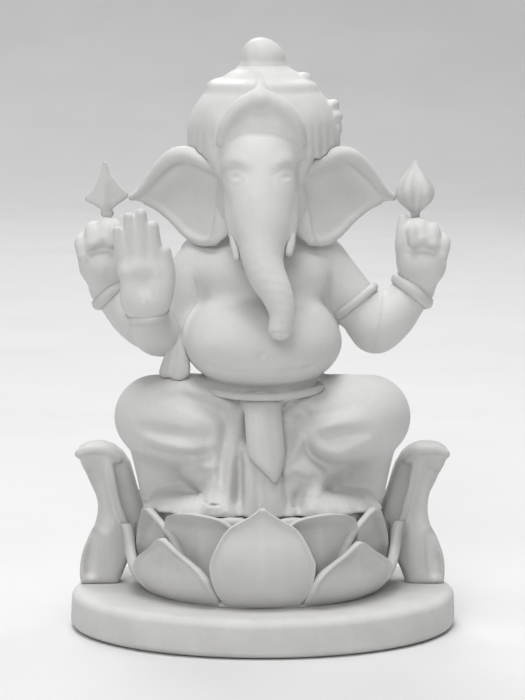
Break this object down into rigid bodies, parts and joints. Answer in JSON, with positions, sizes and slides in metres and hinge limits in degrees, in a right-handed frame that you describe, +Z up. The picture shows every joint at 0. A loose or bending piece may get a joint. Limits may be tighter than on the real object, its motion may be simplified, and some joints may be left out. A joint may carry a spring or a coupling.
{
  "type": "seated ganesha idol",
  "caption": "Free-standing cast idol of a seated elephant-headed deity, one palm raised, two fists holding upright emblems, on a lotus throne with scrolled side posts and an oval plinth.",
  "frame": {"origin": "middle of the underside, on the surface that the idol stands on", "axes": "+Z up, the figure faces -Y, +X is to the right as seen from the front"},
  "size_m": [0.1512, 0.124, 0.229],
  "materials": {
    "felt": "dense short-pile wool felt",
    "base_cast": "white marble-dust resin casting, matt, lightly sanded flats",
    "lotus_cast": "white marble-dust resin casting, matt",
    "skin_cast": "white marble-dust resin casting, matt, hand-smoothed",
    "tusk_cast": "white marble-dust resin casting, slightly polished",
    "cloth_cast": "white marble-dust resin casting, modelled as pleated cloth",
    "ornament_cast": "white marble-dust resin casting, matt",
    "steel": "plain drawn steel rod"
  },
  "bodies": {
    "root": {"base_felt": "felt", "plinth": "base_cast", "left_post": "base_cast", "right_post": "base_cast", "lotus_core": "lotus_cast", "outer_petal_1": "lotus_cast", "outer_petal_2": "lotus_cast", "outer_petal_3": "lotus_cast", "outer_petal_4": "lotus_cast", "outer_petal_5": "lotus_cast", "outer_petal_6": "lotus_cast", "outer_petal_7": "lotus_cast", "outer_petal_8": "lotus_cast", "inner_petal_1": "lotus_cast", "inner_petal_2": "lotus_cast", "inner_petal_3": "lotus_cast", "inner_petal_4": "lotus_cast", "inner_petal_5": "lotus_cast", "inner_petal_6": "lotus_cast", "inner_petal_7": "lotus_cast", "inner_petal_8": "lotus_cast", "torso": "skin_cast", "head": "skin_cast", "left_ear": "skin_cast", "right_ear": "skin_cast", "left_foot": "skin_cast", "right_foot": "skin_cast", "left_rear_upper_arm": "skin_cast", "left_rear_forearm": "skin_cast", "left_front_upper_arm": "skin_cast", "left_front_forearm": "skin_cast", "right_upper_arm": "skin_cast", "right_forearm": "skin_cast", "left_fist": "skin_cast", "right_fist": "skin_cast", "open_hand": "skin_cast", "left_tusk": "tusk_cast", "right_tusk": "tusk_cast", "left_leg": "cloth_cast", "right_leg": "cloth_cast", "sash_upper": "cloth_cast", "sash_lower": "cloth_cast", "sash_tail": "cloth_cast", "belt": "cloth_cast", "crown": "ornament_cast", "crown_crest": "ornament_cast", "topknot": "ornament_cast", "goad": "ornament_cast", "lotus_bud": "ornament_cast", "left_rear_bracelet": "ornament_cast", "left_front_bracelet": "ornament_cast", "right_bracelet": "ornament_cast", "right_armlet": "ornament_cast", "centre_rod": "steel", "post_pins": "steel", "ear_pins": "steel", "shoulder_pins": "steel"}
  },
  "joints": []
}
